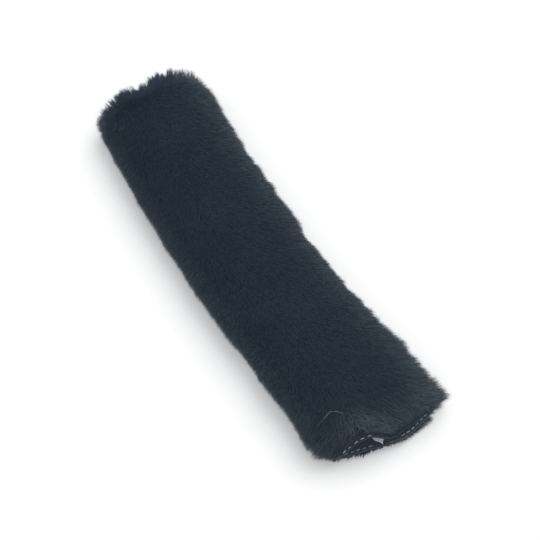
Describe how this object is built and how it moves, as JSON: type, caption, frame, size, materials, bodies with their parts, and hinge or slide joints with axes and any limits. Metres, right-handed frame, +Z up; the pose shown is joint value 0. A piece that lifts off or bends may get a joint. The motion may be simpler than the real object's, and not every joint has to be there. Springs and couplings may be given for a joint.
{
  "type": "seat belt shoulder pad",
  "caption": "Soft seat belt shoulder pad: a black long-pile plush sheet folded into a flat tube, closed underneath by a hook and loop strip, with a stitched hem at each end.",
  "frame": {"origin": "under the middle of the pad, on the surface that it lies on", "axes": "+X along the pad towards its open mouth, +Y across it, +Z up"},
  "size_m": [0.2716, 0.08, 0.0276],
  "materials": {
    "plush": "long straight pile, combed, matt with a pale sheen at grazing angles",
    "hook_tape": "woven nylon band with moulded hooks",
    "loop_tape": "woven nylon band with a short looped face",
    "thread": "twisted polyester sewing thread"
  },
  "bodies": {
    "root": {"plush_cover": "plush", "hook_tape": "hook_tape", "loop_tape": "loop_tape", "mouth_hem_thread": "thread", "far_hem_thread": "thread", "loop_tape_thread": "thread", "hook_tape_thread_slit_side": "thread", "hook_tape_thread_fold_side": "thread"}
  },
  "joints": []
}
